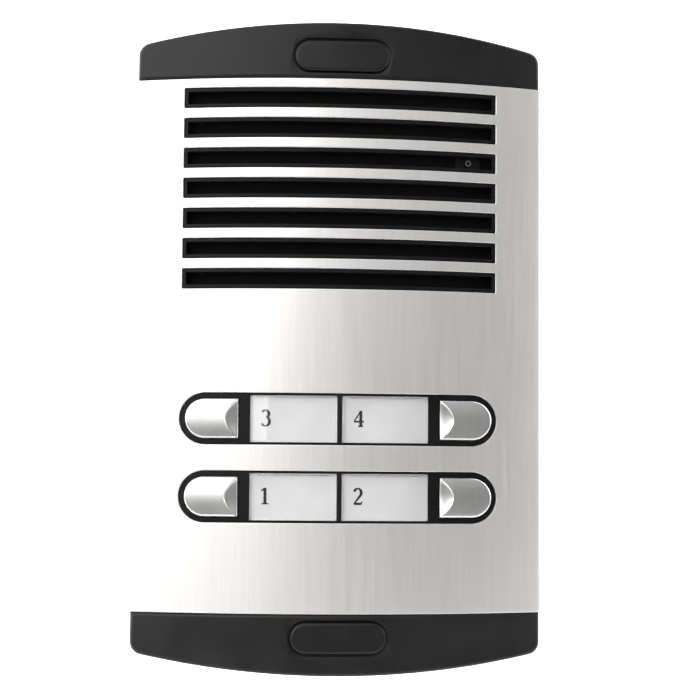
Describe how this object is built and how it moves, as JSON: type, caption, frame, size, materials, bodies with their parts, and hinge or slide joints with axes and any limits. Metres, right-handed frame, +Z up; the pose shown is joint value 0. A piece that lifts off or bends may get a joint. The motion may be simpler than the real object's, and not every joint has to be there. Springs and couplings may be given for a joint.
{
  "type": "door intercom panel",
  "caption": "Wall-mounted door intercom panel: bowed brushed metal front with a slotted speaker grille, backlit name windows and sprung call buttons between arched black end caps.",
  "frame": {"origin": "middle of the back face, on the wall plane, halfway up the metal plate", "axes": "+X to the right seen from the front, +Z up, -Y out of the wall towards the visitor"},
  "size_m": [0.13, 0.0342, 0.2046],
  "materials": {
    "panel_metal": "vertically brushed and anodised, satin",
    "cap_plastic": "moulded satin black",
    "holder_plastic": "moulded satin black",
    "housing_plastic": "moulded fine texture, dark grey",
    "button_metal": "satin plated",
    "window_clear": "clear acrylic",
    "label_paper": null,
    "diffuser_white": "milky light guide",
    "speaker_fabric": "fine black acoustic cloth",
    "cone_paper": "pressed black paper pulp",
    "rubber_black": "soft black rubber and foam",
    "steel_zinc": "zinc plated steel",
    "screw_steel": "bright drawn steel",
    "magnet_ferrite": "sintered ferrite, dark grey",
    "coil_copper": "enamelled copper winding",
    "spring_steel": "drawn spring wire",
    "board_green": "glass-epoxy board with green solder mask",
    "switch_black": "moulded black nylon",
    "plunger_red": "moulded red acetal",
    "trimmer_blue": "moulded blue",
    "rotor_white": "moulded white nylon",
    "terminal_green": "moulded green polyamide",
    "can_sleeve": "dark blue shrink sleeve",
    "led_yellow": "phosphor-filled resin",
    "lead_red": "insulated flexible lead"
  },
  "bodies": {
    "panel": {"front_plate": "panel_metal", "end_cap_top": "cap_plastic", "end_cap_bottom": "cap_plastic", "cap_plug_top": "cap_plastic", "cap_plug_bottom": "cap_plastic", "cap_screws": "screw_steel", "back_housing": "housing_plastic", "wall_seal": "rubber_black", "grille_insert": "holder_plastic", "acoustic_mesh": "speaker_fabric", "speaker_baffle": "housing_plastic", "small_screws": "screw_steel", "speaker_gasket": "rubber_black", "speaker_frame": "steel_zinc", "speaker_magnet": "magnet_ferrite", "speaker_top_plate": "steel_zinc", "speaker_yoke": "steel_zinc", "speaker_surround": "rubber_black", "speaker_clamps": "steel_zinc", "microphone_boot": "rubber_black", "microphone_capsule": "steel_zinc", "microphone_port": "screw_steel", "name_holder_upper": "holder_plastic", "name_holder_lower": "holder_plastic", "diffusers": "diffuser_white", "label_leds": "led_yellow", "switch_bodies": "switch_black", "button_board": "board_green", "main_board": "board_green", "trimmer_bodies": "trimmer_blue", "terminal_block": "terminal_green", "terminal_screws": "screw_steel", "capacitors": "can_sleeve", "board_connectors": "switch_black", "speaker_leads": "lead_red", "window_1": "window_clear", "label_1": "label_paper", "button_spring_1": "spring_steel", "window_2": "window_clear", "label_2": "label_paper", "button_spring_2": "spring_steel", "window_3": "window_clear", "label_3": "label_paper", "button_spring_3": "spring_steel", "window_4": "window_clear", "label_4": "label_paper", "button_spring_4": "spring_steel"},
    "button_1_body": {"button_1": "button_metal", "plunger_1": "plunger_red"},
    "button_2_body": {"button_2": "button_metal", "plunger_2": "plunger_red"},
    "button_3_body": {"button_3": "button_metal", "plunger_3": "plunger_red"},
    "button_4_body": {"button_4": "button_metal", "plunger_4": "plunger_red"},
    "speaker_moving": {"speaker_cone": "cone_paper", "dust_cap": "cone_paper", "voice_coil": "coil_copper"},
    "speaker_volume": {"trimmer_rotor_speaker": "rotor_white"},
    "microphone_volume": {"trimmer_rotor_microphone": "rotor_white"}
  },
  "joints": [
    {"name": "press_1", "type": "slide", "parent": "panel", "child": "button_1_body", "axis": [0, 1, 0], "range_m": [0, 0.0012], "stiffness_N_per_m": 900, "springref_m": -0.0008, "deforming": ["button_spring_1"]},
    {"name": "press_2", "type": "slide", "parent": "panel", "child": "button_2_body", "axis": [0, 1, 0], "range_m": [0, 0.0012], "stiffness_N_per_m": 900, "springref_m": -0.0008, "deforming": ["button_spring_2"]},
    {"name": "press_3", "type": "slide", "parent": "panel", "child": "button_3_body", "axis": [0, 1, 0], "range_m": [0, 0.0012], "stiffness_N_per_m": 900, "springref_m": -0.0008, "deforming": ["button_spring_3"]},
    {"name": "press_4", "type": "slide", "parent": "panel", "child": "button_4_body", "axis": [0, 1, 0], "range_m": [0, 0.0012], "stiffness_N_per_m": 900, "springref_m": -0.0008, "deforming": ["button_spring_4"]},
    {"name": "cone_travel", "type": "slide", "parent": "panel", "child": "speaker_moving", "axis": [0, -1, 0], "range_m": [-0.0006, 0.0006], "stiffness_N_per_m": 1500, "deforming": ["speaker_surround"]},
    {"name": "speaker_volume_turn", "type": "hinge", "parent": "panel", "child": "speaker_volume", "pos_m": [-0.03, -0.0141, 0.00045], "axis": [0, -1, 0], "range_deg": [-135, 135]},
    {"name": "microphone_volume_turn", "type": "hinge", "parent": "panel", "child": "microphone_volume", "pos_m": [-0.016, -0.0141, 0.00045], "axis": [0, -1, 0], "range_deg": [-135, 135]}
  ]
}
